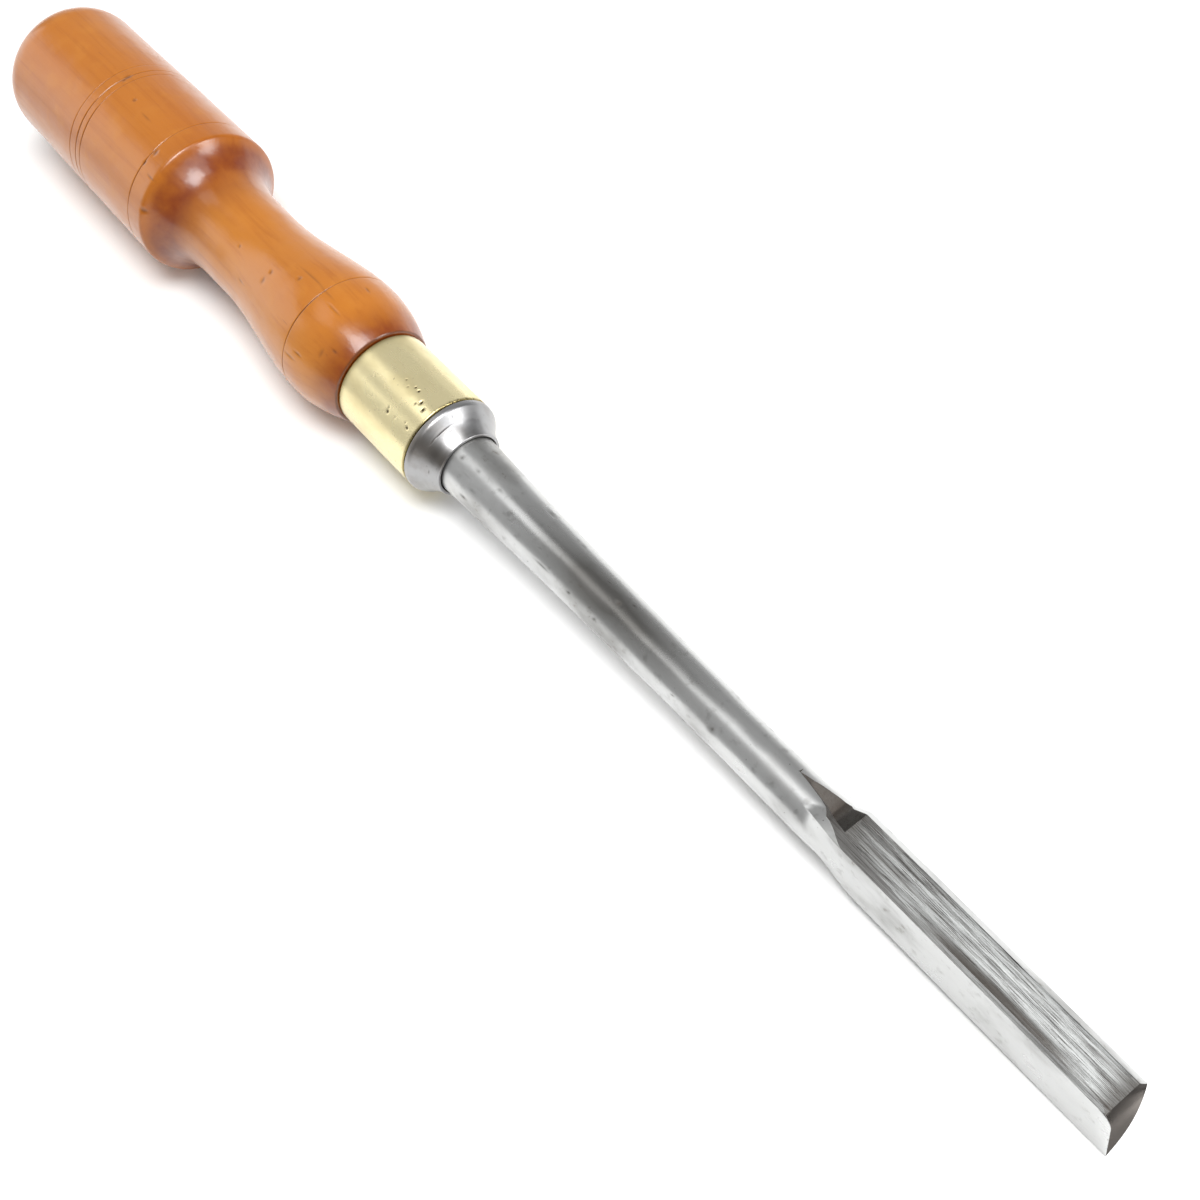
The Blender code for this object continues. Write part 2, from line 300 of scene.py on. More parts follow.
def cove_run(first, last, count=40):
    """Points of a hollow that drops steeply and flattens out, without the first point."""
    t = np.linspace(0.0, 1.0, count + 1)[1:]
    radius = last[1] + (first[1] - last[1]) * (1 - t) ** COVE_POWER
    return list(zip(first[0] + (last[0] - first[0]) * t, radius))


def smoothstep(t):
    """Eases from 0 to 1."""
    t = np.clip(t, 0.0, 1.0)
    return t * t * (3 - 2 * t)


def bell(x, centre, width):
    """1 at the centre, dying away on both sides."""
    return np.exp(-(((x - centre) / width) ** 2))


def ripple(x, angles, wavelength, amplitude, seed, waves=7):
    """A gentle unevenness round and along a turned piece: a sum of seeded waves."""
    chance = np.random.default_rng(seed)
    total = np.zeros((len(x), len(angles)))
    for _ in range(waves):
        along = chance.uniform(0.4, 1.3) * 2 * math.pi / wavelength
        around = chance.integers(0, 6)
        phase = chance.uniform(0, 2 * math.pi)
        total += np.sin(x[:, None] * along + angles[None, :] * around + phase)
    return total * amplitude / math.sqrt(waves)


def knock(x, radius, angles, marks):
    """The hollow left by each mark (place along, angle in degrees, length, width, depth), in
    millimetres, and how strongly each point is marked."""
    depth = np.zeros((len(x), len(angles)))
    strength = np.zeros_like(depth)
    for place_x, angle, size_x, size_round, deep in marks:
        near = np.abs(x - place_x) < 3 * size_x
        if not near.any():
            continue
        turn = (angles - math.radians(angle) + math.pi) % (2 * math.pi) - math.pi
        across = turn[None, :] * radius[near][:, None] / size_round
        along = (x[near] - place_x)[:, None] / size_x
        shape = np.exp(-(along**2 + across**2) ** 1.5)
        depth[near] += deep * shape
        strength[near] = np.maximum(strength[near], shape * min(deep / FULLY_MARKED, 1.0))
    return depth, strength


def scattered(seed, count, low_x, high_x, sizes, depths, stretch=1.6):
    """Seeded marks for knock(), longer along the tool than across it."""
    chance = np.random.default_rng(seed)
    marks = []
    for _ in range(count):
        size = chance.uniform(*sizes) * chance.uniform(0.6, 1.0)
        marks.append(
            (
                chance.uniform(low_x, high_x),
                chance.uniform(0.0, 360.0),
                size * chance.uniform(1.0, stretch),
                size,
                chance.uniform(*depths),
            )
        )
    return marks


# ---------------------------------------------------------------- finishes

FLECK = (0.12, 0.035, 0.012)
SCRIBED_WOOD = (0.075, 0.026, 0.009)
KNOCKED_WOOD = (0.06, 0.02, 0.008)
DULL_BRASS = (0.24, 0.185, 0.06)
BRASS_SPECK = (0.12, 0.08, 0.03)
BRASS_PIT = (0.045, 0.03, 0.012)
BROWN_FILM_AND_DARK_REFLECTION = (0.21, 0.19, 0.17)
BOLSTER_GRIME_AND_SHADE = (0.05, 0.04, 0.03)
RUST = (0.13, 0.085, 0.05)
FURROW_BOTTOM = (0.065, 0.06, 0.056)
FURROW_TOP = (0.41, 0.42, 0.415)
FILED_BAND = (0.085, 0.08, 0.075)
GROOVE_SHADE = (0.055, 0.048, 0.042)
BEVEL_SHADE = (0.055, 0.05, 0.046)
STEEL_SPECK = (0.07, 0.06, 0.05)
BLADE_GRIME_AND_SHADE = (0.045, 0.035, 0.028)


class Finish:
    """One material being made: its shader, and short ways to add the nodes that feed it."""

    def __init__(self, name, **constant):
        self.material = bpy.data.materials.new(name)
        self.material.use_nodes = True
        self.tree = self.material.node_tree
        self.shader = self.tree.nodes["Principled BSDF"]
        for socket, value in constant.items():
            self.shader.inputs[socket.replace("_", " ")].default_value = value
        self.place = self.add("ShaderNodeAttribute", attribute_name="own_place").outputs["Vector"]

    def add(self, kind, inputs=None, **settings):
        """A node with its settings, and its inputs given as values or as other nodes' outputs."""
        node = self.tree.nodes.new(kind)
        for name, value in settings.items():
            setattr(node, name, value)
        for key, value in (inputs or {}).items():
            if isinstance(value, bpy.types.NodeSocket):
                self.tree.links.new(value, node.inputs[key])
            else:
                node.inputs[key].default_value = value
        return node

    def feed(self, socket, value):
        """Links a value into the shader."""
        self.tree.links.new(value, self.shader.inputs[socket])

    def painted(self, name):
        """A value stored on the mesh's points."""
        return self.add("ShaderNodeAttribute", attribute_name=name).outputs["Fac"]

    def noise(self, scale, stretch=(1.0, 1.0, 1.0), detail=3.0, roughness=0.55, shift=0.0):
        """Cloudy unevenness. scale is in features per metre, stretch squeezes them per axis."""
        mapped = {"Vector": self.place, "Scale": stretch, "Location": (shift, 0.0, shift)}
        at = self.add("ShaderNodeMapping", mapped).outputs["Vector"]
        inputs = {"Vector": at, "Scale": scale, "Detail": detail, "Roughness": roughness}
        return self.add("ShaderNodeTexNoise", inputs).outputs["Fac"]

    def band(self, value, low, high, to_low=0.0, to_high=1.0):
        """Maps low..high to a new range, eased and held at its ends."""
        inputs = {"Value": value, "From Min": low, "From Max": high, "To Min": to_low, "To Max": to_high}
        return self.add("ShaderNodeMapRange", inputs, interpolation_type="SMOOTHSTEP").outputs["Result"]

    def times(self, first, second):
        return self.add("ShaderNodeMath", {0: first, 1: second}, operation="MULTIPLY").outputs[0]

    def plus(self, first, second):
        return self.add("ShaderNodeMath", {0: first, 1: second}, operation="ADD").outputs[0]

    def mix(self, factor, first, second):
        """A colour between two, each a colour or another node's output. The mix node's colours are its
        sockets 6 and 7."""
        node = self.add("ShaderNodeMix", data_type="RGBA")
        for number, value in ((0, factor), (6, first), (7, second)):
            if isinstance(value, bpy.types.NodeSocket):
                self.tree.links.new(value, node.inputs[number])
            else:
                node.inputs[number].default_value = value if number == 0 else (*value, 1.0)
        return node.outputs[2]

    def bump(self, *heights):
        """Relief from (height, depth in millimetres) pairs, coarse first. Returns the last normal."""
        normal = None
        for height, depth in heights:
            inputs = {"Height": height, "Strength": 1.0, "Distance": depth * MM}
            if normal is not None:
                inputs["Normal"] = normal
            normal = self.add("ShaderNodeBump", inputs).outputs["Normal"]
        self.feed("Normal", normal)
        return normal


def waxed_boxwood(settings):
    """Orange-tan turned boxwood under old wax: streaks along the grain, darker on end grain, with painted
    shade in the cove's hollow and next to the ferrule.
    """
    wood = Finish(
        "waxed_boxwood", Coat_Weight=0.9, Coat_Roughness=0.22, Coat_IOR=1.5, Specular_IOR_Level=0.12
    )
    broad = wood.noise(26.0, (0.35, 1.0, 1.0), shift=0.31)
    streaks = wood.noise(95.0, (0.09, 1.0, 1.0), detail=4.0)
    fibres = wood.noise(520.0, (0.05, 1.0, 1.0), detail=5.0, roughness=0.65)
    flecks = wood.noise(900.0, (0.12, 1.0, 1.0), detail=2.0, shift=1.7)
    mottle = wood.noise(140.0, detail=3.0, shift=2.3)
    paler = wood.plus(wood.band(broad, 0.36, 0.68, 0.0, 0.5), wood.times(wood.painted("handled"), 0.5))
    colour = wood.mix(paler, settings.wood, settings.wood_pale)
    deep = tuple(0.55 * a + 0.45 * b for a, b in zip(settings.wood, settings.wood_dark))
    colour = wood.mix(wood.band(streaks, 0.50, 0.76, 0.0, 0.4), colour, deep)
    colour = wood.mix(wood.band(fibres, 0.46, 0.78, 0.0, 0.4), colour, deep)
    colour = wood.mix(wood.band(mottle, 0.50, 0.74, 0.0, 0.35), colour, settings.wood_pale)
    # End grain darkens the wood, and so does the painted shade in the cove's hollow and by the ferrule.
    dark_grain_and_shade = wood.times(wood.painted("end_grain_and_shade"), wood.band(mottle, 0.2, 0.8, 0.55, 1.0))
    colour = wood.mix(dark_grain_and_shade, colour, settings.wood_dark)
    colour = wood.mix(wood.band(flecks, 0.72, 0.79, 0.0, 0.4), colour, FLECK)
    colour = wood.mix(wood.painted("line"), colour, SCRIBED_WOOD)
    colour = wood.mix(wood.painted("knock"), colour, KNOCKED_WOOD)
    wood.feed("Base Color", colour)
    wood.feed("Roughness", wood.band(mottle, 0.3, 0.75, 0.34, 0.5))
    wood.feed("Coat Normal", wood.bump((mottle, 0.12), (fibres, 0.02), (flecks, 0.02)))
    return wood.material


def polished_brass(settings):
    """Pale polished brass, duller towards its back edge, with dark corrosion pits."""
    brass = Finish("polished_brass", Metallic=0.82)
    clouds = brass.noise(120.0, (0.6, 1.0, 1.0), detail=4.0)
    hairlines = brass.noise(700.0, (1.0, 0.12, 0.12), detail=3.0, shift=0.9)
    specks = brass.noise(1500.0, detail=1.0, shift=3.1)
    colour = brass.mix(brass.band(clouds, 0.42, 0.72, 0.0, 0.4), settings.brass, settings.tarnish)
    colour = brass.mix(brass.painted("dull"), colour, DULL_BRASS)
    colour = brass.mix(brass.band(specks, 0.74, 0.79, 0.0, 0.5), colour, BRASS_SPECK)
    colour = brass.mix(brass.painted("pit"), colour, BRASS_PIT)
    brass.feed("Base Color", colour)
    rough = brass.plus(brass.band(clouds, 0.35, 0.7, 0.24, 0.36), brass.times(brass.painted("pit"), 0.4))
    brass.feed("Roughness", rough)
    brass.bump((clouds, 0.03), (hairlines, 0.004))
    return brass.material


def turned_steel(settings):
    """Bright steel with fine rings from turning, a brown film in places, a painted dark reflection along
    one side and painted shade in the seat.
    """
    steel = Finish("turned_steel", Metallic=1.0)
    rings = steel.noise(900.0, (1.0, 0.06, 0.06), detail=4.0)
    film = steel.noise(160.0, detail=4.0, shift=4.4)
    # A brown film in places, with a painted dark reflection added along one side.
    film_and_dark_reflection = steel.plus(steel.times(steel.band(film, 0.5, 0.68), 0.3), steel.painted("dark_reflection"))
    colour = steel.mix(film_and_dark_reflection, settings.steel, BROWN_FILM_AND_DARK_REFLECTION)
    # Painted shade in the seat and on the back face, and dark scratches.
    colour = steel.mix(steel.painted("grime_and_shade"), colour, BOLSTER_GRIME_AND_SHADE)
    steel.feed("Base Color", colour)
    rough = steel.plus(steel.band(rings, 0.3, 0.75, 0.31, 0.40), steel.times(steel.painted("grime_and_shade"), 0.3))
    steel.feed("Roughness", rough)
    steel.bump((film, 0.015), (rings, 0.004))
    return steel.material


def old_ground_steel(settings):
    """The blade: satin grey shank with patina, smooth outer faces, coarse file marks inside the V, and
    painted shade in the groove, on the bevel, in the run-out's notch and where the shank meets the
    bolster.
    """
    steel = Finish("old_ground_steel", Metallic=1.0)
    patches = steel.noise(70.0, (0.5, 1.0, 1.0), detail=5.0, shift=5.2)
    mottle = steel.noise(420.0, detail=4.0, shift=2.9)
    brushed = steel.noise(650.0, (0.03, 1.0, 1.0), detail=5.0, roughness=0.7)
    scores = steel.noise(6200.0, (0.022, 1.0, 1.0), detail=4.0, roughness=0.7, shift=0.6)
    bands = steel.noise(900.0, (0.05, 1.0, 1.0), detail=3.0, shift=8.3)
    specks = steel.noise(1100.0, detail=2.0, shift=7.0)
    filed = steel.painted("filed")
    bevel = steel.painted("bevel")
    grime_and_shade = steel.painted("grime_and_shade")
    colour = steel.mix(steel.band(patches, 0.46, 0.70, 0.0, 0.65), settings.steel, settings.patina)
    colour = steel.mix(steel.band(mottle, 0.55, 0.78, 0.0, 0.45), colour, settings.patina)
    aged = steel.times(steel.painted("aged"), steel.band(patches, 0.3, 0.6, 0.7, 1.0))
    colour = steel.mix(aged, colour, settings.patina)
    rusty = steel.times(steel.band(mottle, 0.60, 0.72), steel.band(patches, 0.53, 0.63, 0.0, 0.5))
    colour = steel.mix(rusty, colour, RUST)
    scored = steel.mix(steel.band(scores, 0.36, 0.56), FURROW_BOTTOM, FURROW_TOP)
    scored = steel.mix(steel.band(bands, 0.50, 0.72, 0.0, 0.7), scored, FILED_BAND)
    scored = steel.mix(steel.painted("shaded"), scored, GROOVE_SHADE)
    colour = steel.mix(filed, colour, scored)
    # Painted shade: the bevel is painted almost black.
    colour = steel.mix(bevel, colour, BEVEL_SHADE)
    colour = steel.mix(steel.band(specks, 0.72, 0.78, 0.0, 0.6), colour, STEEL_SPECK)
    # Painted shade where the shank meets the bolster and in the run-out's notch, and dark pits on the
    # shank.
    colour = steel.mix(grime_and_shade, colour, BLADE_GRIME_AND_SHADE)
    steel.feed("Base Color", colour)
    rough = steel.band(patches, 0.35, 0.75, 0.27, 0.44)
    rough = steel.plus(rough, steel.times(filed, 0.12))
    rough = steel.plus(rough, steel.times(bevel, -0.08))
    steel.feed("Roughness", steel.plus(rough, steel.times(grime_and_shade, 0.3)))
    steel.bump((patches, 0.02), (brushed, 0.006), (steel.times(scores, filed), 0.035), (mottle, 0.006))
    return steel.material


def pale_floor(settings):
    """A plain pale sheet under the tool."""
    paper = Finish("pale_floor", Roughness=0.9, IOR=1.2)
    paper.place = paper.add("ShaderNodeTexCoord").outputs["Object"]
    soft = paper.noise(9.0, detail=2.0)
    darker = tuple(0.985 * value for value in settings.floor_colour)
    paper.feed("Base Color", paper.mix(soft, settings.floor_colour, darker))
    return paper.material


# ---------------------------------------------------------------- handle


def handle_outline(settings):
    """The handle's profile in millimetres, from the middle of the butt to the end of the bore."""
    corner_x = BUTT_X + BUTT_CROWN + BUTT_ROUNDING
    butt, barrel = settings.butt_radius / MM, settings.barrel_radius / MM
    profile = [(BUTT_X, 0.02)] + arc(corner_x, butt - BUTT_ROUNDING, BUTT_ROUNDING, 180, 90, 24)
    rim_x, rim_radius = SHOULDER_X - SHOULDER_ROUNDING, barrel - SHOULDER_ROUNDING
    profile += arc(rim_x, rim_radius, SHOULDER_ROUNDING, 90, 30, 8)
    neck = (NECK_X, settings.neck_radius / MM)
    belly = (BELLY_X, settings.belly_radius / MM)
    collar = (-FERRULE_LENGTH - 2 * GAP, COLLAR_RADIUS)
    profile += cove_run(profile[-1], neck)
    profile += smooth_run(neck, 0.0, belly, 0.0)
    profile += smooth_run(belly, 0.0, collar, -0.45)
    tenon = bpy.context.scene.chisel_ferrule.radius / MM - FERRULE_WALL - GAP
    bore_end = TANG_X - 2.0
    bore = ((-GAP, TANG_BORE_RADIUS), (bore_end, TANG_BORE_TIP_RADIUS))
    for corner in ((collar[0], tenon), (-GAP, tenon), *bore):
        profile += [profile[-1], corner]
    return profile + [profile[-1], (bore_end - 1.9, 0.02)]


# Scribed lines: place along the handle, depth as a share of the full depth, and the angle where each
# is plainest.
SCRIBED_LINES = (
    (-143.13, 0.55, 150.0),
    (-140.03, 1.0, 140.0),
    (-137.8, 0.8, 150.0),
    (-112.36, 0.75, 140.0),
    (-44.7, 1.0, 120.0),
)

# Knocks that show: place along the handle, angle, length, width and depth.
HANDLE_KNOCKS = (
    (-131.1, 93.6, 0.55, 0.5, 0.35),
    (-140.0, 84.0, 0.6, 1.2, 0.16),
    (-139.5, 88.0, 0.4, 0.5, 0.22),
    (-107.6, 126.0, 1.4, 0.22, 0.2),
    (-105.9, 151.0, 0.7, 0.6, 0.3),
    (-111.6, 110.5, 0.6, 0.9, 0.2),
    (-112.3, 121.5, 0.5, 0.7, 0.2),
    (-123.3, 97.1, 2.2, 0.25, 0.1),
    (-61.7, 113.3, 0.45, 0.6, 0.25),
    (-62.2, 124.4, 0.45, 0.9, 0.25),
    (-53.2, 99.5, 0.5, 0.6, 0.35),
    (-51.0, 91.0, 5.0, 0.28, 0.1),
    (-44.0, 92.5, 3.0, 0.25, 0.08),
    (-38.6, 98.1, 2.2, 0.2, 0.1),
    (-39.6, 147.0, 1.2, 0.25, 0.2),
    (-42.0, 154.6, 2.2, 0.22, 0.2),
    (-31.3, 123.1, 0.7, 0.35, 0.15),
    (-33.9, 132.2, 0.35, 1.2, 0.12),
    (-39.8, 62.2, 0.8, 0.3, 0.15),
    (-69.8, 144.7, 1.1, 0.3, 0.12),
    (-76.6, 118.2, 0.35, 0.35, 0.15),
)


def scribed(x, angles):
    """How strongly the scribed lines cut each point of the handle: all of them added up, and the
    strongest alone. They wander a little, and are worn away on one side."""
    strongest = np.zeros((len(x), len(angles)))
    total = np.zeros_like(strongest)
    for number, (line_x, share, plainest) in enumerate(SCRIBED_LINES):
        worn_away = (0.5 + 0.5 * np.cos(angles - math.radians(plainest))) ** 1.6
        strength = share * worn_away * (0.8 + 0.2 * np.sin(5 * angles + number))
        wander = 0.12 * np.sin(angles + number) + 0.03 * np.sin(7 * angles + 2 * number)
        cut = np.exp(-(((x[:, None] - line_x - wander) / LINE_WIDTH) ** 2)) * strength
        total += cut
        strongest = np.maximum(strongest, cut)
    return total, strongest


class CHISEL_OT_handle(bpy.types.Operator):
    """Turn the boxwood handle, with its scribed lines, knocks and worn surface"""

    bl_idname = "chisel.handle"
    bl_label = "Handle"

    def execute(self, context):
        settings = context.scene.chisel_handle
        angles = all_round(HANDLE_SIDES)

        def spacing(x, radius):
            nearest = np.min([np.abs(x - line[0]) for line in SCRIBED_LINES], axis=0)
            outside = radius > COLLAR_RADIUS - 3.0
            fine = np.where(nearest < 0.75, 0.07, np.where(nearest < 1.5, 0.2, 0.55))
            return np.where(outside, fine, 3.0)

        outline = spread(handle_outline(settings), spacing)
        x, radius = outline[:, 0], outline[:, 1]
        collar_row = int(np.argmax((x > -FERRULE_LENGTH - 1.0) & (radius < COLLAR_RADIUS)))
        outer = (np.arange(len(x)) < collar_row) & (radius > 1.0)
        worn = ripple(x, angles, 42.0, 0.045, settings.seed)
        worn += ripple(x, angles, 9.0, 0.012, settings.seed + 1)
        cut, line_mark = scribed(x, angles)
        depth = cut * settings.line_depth / MM
        small = scattered(settings.seed + 2, 55, BUTT_X + 6, -28.0, (0.10, 0.26), (0.02, 0.06), 2.2)
        knocks, knock_mark = knock(x, radius, angles, HANDLE_KNOCKS)
        nicks, nick_mark = knock(x, radius, angles, small)
        surface = worn - depth - knocks - nicks
        rows_radius = radius[:, None] + np.where(outer[:, None], surface, 0.0)
        slope = np.gradient(radius) / np.maximum(np.hypot(np.gradient(x), np.gradient(radius)), 1e-6)
        cove = smoothstep((-slope - 0.15) / 0.5) * (x > SHOULDER_X - 2)
        butt_end = smoothstep((BUTT_X + 7.0 - x) / 7.0)
        # Painted shade: darker wood in the cove's hollow and where the wood meets the ferrule.
        hollow_shade = 0.6 * bell(x, -98.0, 8.0) + 0.6 * bell(x, -28.5, 4.8)
        end_grain_and_shade = np.clip(np.maximum(cove * 0.75, 0.25 * butt_end) + hollow_shade, 0.0, 0.95)
        rim = 1.0 - 0.6 * bell(x, SHOULDER_X, 1.1)
        near_collar = 0.8 * bell(x, -FERRULE_LENGTH - 2 * GAP, 0.35) * outer
        marks = {
            "line": np.clip(line_mark + near_collar[:, None], 0.0, 1.0),
            "knock": np.clip(knock_mark * 0.55 + nick_mark * 0.22, 0.0, 1.0),
            "end_grain_and_shade": (end_grain_and_shade * rim)[:, None],
            "handled": smoothstep((x - SHOULDER_X) / 15.0)[:, None],
        }
        mesh = skin("handle_turned", turned_rows(x, rows_radius, angles), False, marks)
        finish_mesh(mesh, caps=end_rings(len(x), len(angles)))
        place("handle_turned", mesh, "handle", waxed_boxwood(settings))
        return {"FINISHED"}


# ---------------------------------------------------------------- ferrule and bolster

# Corrosion pits that show: place along the tool, angle, length, width and depth.
FERRULE_PITS = (
    (-12.65, 92.6, 0.26, 0.24, 0.12),
    (-10.8, 96.9, 0.22, 0.22, 0.1),
    (-9.3, 91.5, 0.3, 0.34, 0.16),
    (-7.9, 92.1, 0.36, 0.4, 0.2),
    (-4.9, 99.0, 0.38, 0.6, 0.24),
    (-3.1, 103.0, 0.42, 0.55, 0.2),
    (-5.8, 104.2, 0.26, 0.28, 0.12),
    (-17.2, 92.5, 0.2, 0.2, 0.05),
    (-10.3, 130.6, 0.42, 0.4, 0.2),
    (-10.6, 126.2, 0.22, 0.22, 0.12),
    (-7.5, 129.4, 0.2, 0.2, 0.06),
    (-3.1, 128.2, 0.5, 0.3, 0.14),
    (-4.2, 125.0, 0.24, 0.2, 0.08),
)

# Scratches that show on the bolster, and the seed of its smallest nicks.
BOLSTER_SCRATCHES = (
    (3.7, 104.0, 0.09, 2.6, 0.11),
    (3.6, 121.0, 0.09, 1.2, 0.11),
    (5.5, 161.7, 0.14, 0.5, 0.08),
    (4.7, 96.0, 0.12, 0.6, 0.04),
    (2.5, 84.0, 0.3, 0.3, 0.04),
)
BOLSTER_SEED = 31


class CHISEL_OT_ferrule(bpy.types.Operator):
    """Make the brass tube, with its rounded edges and corrosion pits"""

    bl_idname = "chisel.ferrule"
    bl_label = "Ferrule"

    def execute(self, context):
        settings = context.scene.chisel_ferrule
        outer = settings.radius / MM
        inner = outer - FERRULE_WALL
        back, front = -FERRULE_LENGTH - GAP, -GAP
        rim = outer - FERRULE_ROUNDING
        profile = [(back, inner)]
        profile += arc(back + FERRULE_ROUNDING, rim, FERRULE_ROUNDING, 180, 90, 6)
        profile += arc(front - FERRULE_ROUNDING, rim, FERRULE_ROUNDING, 90, 0, 6)
        profile += [(front, inner), (front, inner), (back, inner)]
        outline = spread(profile, lambda x, radius: np.where(radius > inner + 0.05, 0.17, 3.0))[:-1]
        x, radius = outline[:, 0], outline[:, 1]
        angles = all_round(FERRULE_SIDES)
        small = scattered(settings.seed, 70, back + 0.6, front - 0.3, (0.08, 0.2), (0.02, 0.07), 1.3)
        edge = scattered(settings.seed + 1, 60, front - 0.5, front - 0.1, (0.08, 0.3), (0.05, 0.16), 1.0)
        pits, pit_mark = knock(x, radius, angles, FERRULE_PITS + tuple(small) + tuple(edge))
        outside = (radius > inner + 0.3)[:, None]
        rows_radius = radius[:, None] + outside * (ripple(x, angles, 30.0, 0.014, settings.seed) - pits)
        dull = 0.9 * bell(x, back, 1.2) + 0.95 * bell(x, front, 0.45)
        marks = {
            "pit": np.clip(pit_mark * 1.2, 0, 1) * outside,
            "dull": np.clip(dull, 0, 1)[:, None],
        }
        mesh = skin("ferrule_brass", turned_rows(x, rows_radius, angles), True, marks)
        finish_mesh(mesh)
        place("ferrule_brass", mesh, "ferrule", polished_brass(settings))
        return {"FINISHED"}


class CHISEL_OT_bolster(bpy.types.Operator):
    """Turn the steel collar between the ferrule and the shank"""

    bl_idname = "chisel.bolster"
    bl_label = "Bolster"

    def execute(self, context):
        settings = context.scene.chisel_bolster
        end, land = settings.bolster_length / MM, settings.land / MM
        outer = context.scene.chisel_ferrule.radius / MM
        nose = settings.nose_radius / MM
        seat = context.scene.chisel_blade.shank_radius / MM + GAP
        bore = TANG_BORE_RADIUS + 0.1
        profile = [(0.0, bore)]
        profile += arc(BOLSTER_ROUNDING, outer - BOLSTER_ROUNDING, BOLSTER_ROUNDING, 180, 90, 4)
        profile += arc(land - LAND_ROUNDING, outer - LAND_ROUNDING, LAND_ROUNDING, 90, 48, 10)
        start_x, start_radius = profile[-1]
        for t in np.linspace(0.0, 1.0, 33)[1:-1]:
            sag = settings.hollow / MM * math.sin(math.pi * t)
            cone = start_radius + (nose - start_radius) * t
            profile.append((start_x + (end - start_x) * t, cone - sag))
        profile += [(end - 0.08, nose + 0.05), (end, nose - 0.1)]
        for corner in ((end, seat), (end - SEAT_DEPTH, seat), (end - SEAT_DEPTH, bore), (0.0, bore)):
            profile += [profile[-1], corner]
        outline = spread(profile, lambda x, radius: np.where(radius > bore + 0.2, 0.11, 1.5))[:-1]
        x, radius = outline[:, 0], outline[:, 1]
        angles = all_round(BOLSTER_SIDES)
        small = scattered(BOLSTER_SEED, 26, 0.4, end - 0.5, (0.08, 0.2), (0.02, 0.05), 1.5)
        scratches, marked = knock(x, radius, angles, BOLSTER_SCRATCHES + tuple(small))
        outside = (radius > seat + 0.3)[:, None]
        rows_radius = radius[:, None] - outside * scratches
        # Painted shade on the faces inside the seat and on the back face against the ferrule.
        seat_shade = ((radius < seat + 0.05) | (x < 0.05))[:, None] * 0.9
        # A painted dark reflection along one side of the bolster.
        dark_reflection = 0.9 * bell(angles, math.radians(133.0), 0.3) * outside
        marks = {"grime_and_shade": np.clip(marked * outside + seat_shade, 0, 1), "dark_reflection": dark_reflection}
        mesh = skin("bolster_steel", turned_rows(x, rows_radius, angles), True, marks)
        finish_mesh(mesh)
        mesh.set_sharp_from_angle(angle=math.radians(40))
        place("bolster_steel", mesh, "bolster", turned_steel(settings))
        return {"FINISHED"}


# ---------------------------------------------------------------- blade

# The hand-filed run-out of the groove, at stations along the tool: the height of its floor over the
# lying leg, the place of its wall along the standing leg, and how far out (y + z) the facet left of
# it and the flat on the wings' edges stand.
FLOOR_X, FLOOR_Z = (RUN_OUT_X, 122.2, 126.2, 129.0, 130.3, 131.3), (5.6, 5.16, 4.2, 2.9, 1.3, -3.65)
WALL_X, WALL_Y = (RUN_OUT_X, 122.2, 126.2, 129.8, 131.5), (1.8, 1.6, 1.05, 0.63, 0.0)
FACET_X, FACET_OUT = (RUN_OUT_X, 122.2, 126.2, 128.0, 129.8, 131.0), (7.4, 7.05, 6.5, 6.05, 5.0, 5.1)
FLAT_X, FLAT_OUT = (129.4, 131.3), (8.6, 5.1)
WALL_END_X = 160.4

# Where each of the bar's three corners grows out of the round shank.
LYING_FLARE = (113.0, 130.5)
STANDING_FLARE = (124.0, 139.0)
CORNER_FLARE = (124.0, 143.0)

# The bevel inside the V: where it starts, how many rings it has, and what it leaves of the thickness.
BEVEL_X = 204.0
BEVEL_RINGS = 14
EDGE = 0.15

# How the cutting edge sweeps back along each leg, and the rounding of the standing leg's top corner.
LYING_SLOPE = 0.09
LYING_CURVE = 2.6
LYING_POWER = 2.6
STANDING_SLOPE = 0.105
TOP_ROUNDING = 3.2

# A ring is eight runs of points, each followed by a rounded corner. They are numbered from the floor
# of the groove, round the outside, to its wall. Half a number is the corner after a run.
RUN_OUT_ANGLE = math.radians(72.0)
RUN_POINTS = (26, 5, 26, 40, 40, 26, 7, 26)
ARRIS = 0.14
ARRIS_POINTS = 4
FLOOR_RUN, WALL_RUN = 0, 7
FILED_RUNS = (0, 0.5, 6, 6.5, 7, 7.5)
BEVELLED_RUNS = (0, 0.5, 6.5, 7, 7.5)
VALLEY_RUNS = (0, 7, 7.5)

# The file marks: how many furrows cross each face, and their depth on the floor and the wall.
FURROWS = 12
FLOOR_FURROW = 0.012
WALL_FURROW = 0.006


def until(points, beyond):
    """The part of a line of points before the value beyond turns positive, ending just there."""
    past = np.nonzero(beyond > 1e-9)[0]
    if len(past) == 0:
        return points
    stop = past[0]
    if stop == 0:
        return points[:1]
    share = -beyond[stop - 1] / (beyond[stop] - beyond[stop - 1])
    end = points[stop - 1] + share * (points[stop] - points[stop - 1])
    return np.concatenate([points[:stop], [end]])


def resampled(points, trim, count):
    """count points evenly along a line of points, keeping clear of both ends by trim."""
    reach = np.concatenate([[0.0], np.cumsum(np.hypot(*np.diff(points, axis=0).T))])
    trim = min(trim, 0.3 * reach[-1])
    at = np.linspace(trim, reach[-1] - trim, count)
    return np.stack([np.interp(at, reach, points[:, n]) for n in (0, 1)], axis=-1)


def rounded_loop(runs, arris):
    """Joins runs of points end to end into one ring, each corner between them slightly rounded."""
    kept = [resampled(run, arris, count) for run, count in zip(runs, RUN_POINTS)]
    ring = []
    for n, run in enumerate(kept):
        following = kept[(n + 1) % len(kept)]
        corner = runs[n][-1]
        ring.append(run)
        for t in np.linspace(0.0, 1.0, ARRIS_POINTS + 2)[1:-1]:
            curve = (1 - t) ** 2 * run[-1] + 2 * t * (1 - t) * corner + t * t * following[0]
            ring.append(curve[None])
    return np.concatenate(ring)


